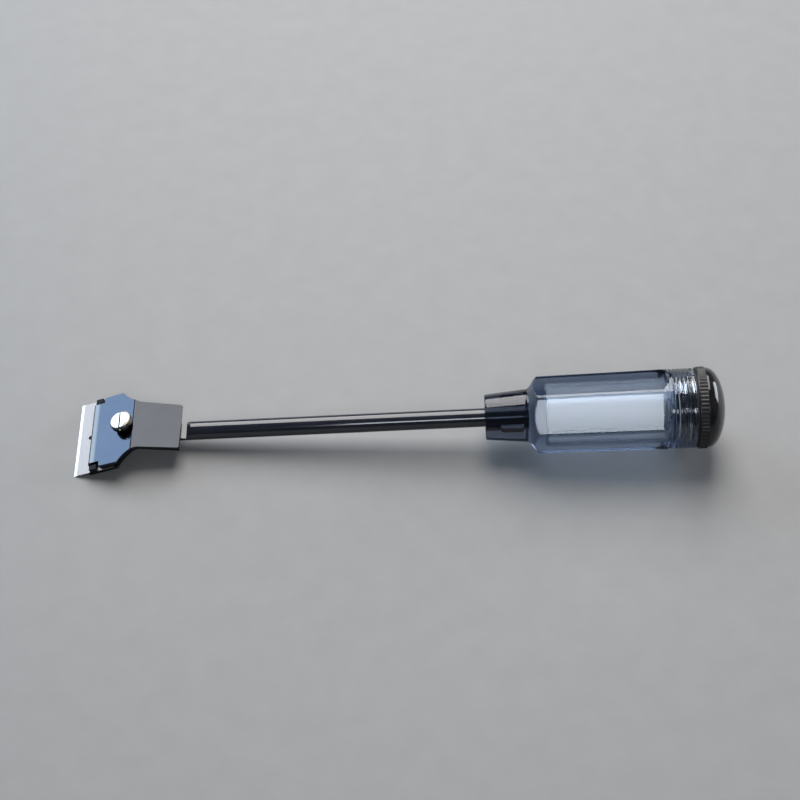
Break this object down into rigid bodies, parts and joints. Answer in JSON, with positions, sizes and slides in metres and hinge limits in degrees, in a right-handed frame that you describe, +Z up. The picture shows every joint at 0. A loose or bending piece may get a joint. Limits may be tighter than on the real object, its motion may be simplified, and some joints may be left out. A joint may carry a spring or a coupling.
{
  "type": "algae scraper",
  "caption": "Long-reach razor blade scraper: bent clamp plate with a knurled thumb screw, round steel shaft, hollow translucent handle with a screw cap.",
  "frame": {"origin": "middle of the overall box at the height of the surface that the tool lies on", "axes": "+X along the tool towards the cap, +Z up from the surface, +Y across the tool; the shaft rises 3.65 degrees towards the cap"},
  "size_m": [0.2758, 0.0382, 0.038],
  "materials": {
    "steel_blade": "ground and polished carbon steel with a brighter bevelled edge",
    "lower_jaw": "dull black oxide finish on pressed steel",
    "clamp_plate": "glossy blue-black finish on pressed steel",
    "clamp_nut": "nickel plated steel",
    "clamp_screw": "bright nickel plate",
    "shaft": "glossy black finish on a drawn steel rod",
    "jaw_rivets": "black finish on steel",
    "handle_body": "clear smoke blue-grey cellulose plastic, polished",
    "cap_seal": "soft black rubber",
    "end_cap": "moulded glossy black plastic"
  },
  "bodies": {
    "frame": {"shaft": "shaft", "lower_jaw": "lower_jaw", "jaw_rivets": "jaw_rivets", "clamp_nut": "clamp_nut", "steel_blade": "steel_blade", "handle_body": "handle_body"},
    "clamp": {"clamp_plate": "clamp_plate"},
    "screw": {"clamp_screw": "clamp_screw"},
    "seal": {"cap_seal": "cap_seal"},
    "cap": {"end_cap": "end_cap"}
  },
  "joints": [
    {"name": "clamp_lift", "type": "slide", "parent": "frame", "child": "clamp", "axis": [-0.3722, 0, 0.9281], "range_m": [0, 0.0021]},
    {"name": "clamp_screw_turn", "type": "hinge", "parent": "clamp", "child": "screw", "pos_m": [-0.11613, 0, 0.00875], "axis": [-0.3722, 0, 0.9281], "range_deg": [0, 1080]},
    {"name": "cap_slide", "type": "slide", "parent": "frame", "child": "seal", "axis": [0.998, 0, 0.0637], "range_m": [0, 0.00975]},
    {"name": "cap_turn", "type": "hinge", "parent": "seal", "child": "cap", "pos_m": [0.12489, 0, 0.02034], "axis": [0.998, 0, 0.0637], "range_deg": [0, 2340]}
  ],
  "couplings": [
    {"joint": "clamp_screw_turn", "follows": "clamp_lift", "rad_per_m": 8976},
    {"joint": "cap_slide", "follows": "cap_turn", "m_per_rad": 0.00023873}
  ]
}
